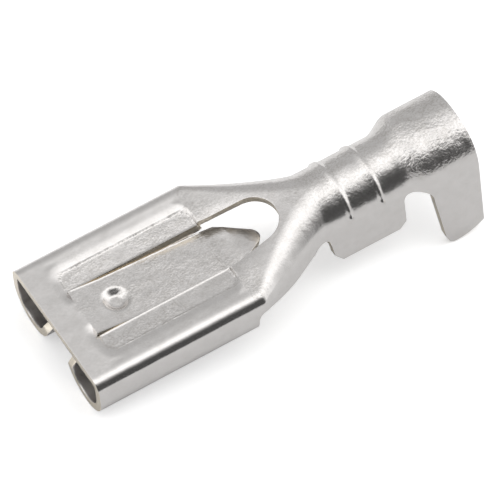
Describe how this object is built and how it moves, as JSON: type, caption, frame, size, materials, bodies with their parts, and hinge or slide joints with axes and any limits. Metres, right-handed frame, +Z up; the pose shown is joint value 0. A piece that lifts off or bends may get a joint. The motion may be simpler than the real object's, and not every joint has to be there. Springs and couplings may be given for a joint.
{
  "type": "female spade terminal",
  "caption": "Open-barrel female spade terminal folded from one tinned sheet, with curled ears for a flat blade, a sprung tongue and two crimp barrels.",
  "frame": {"origin": "middle of the underside, on the plane it lies on, with the fronts of the ears and the tips of the insulation wings touching down", "axes": "+X from the mouth towards the wire end, +Z up, the floor of the receptacle uppermost"},
  "size_m": [0.021, 0.0076, 0.0062],
  "materials": {
    "tinned_sheet": "bright tin plate over brass, satin with fine mottling"
  },
  "bodies": {
    "root": {"terminal": "tinned_sheet"}
  },
  "joints": []
}
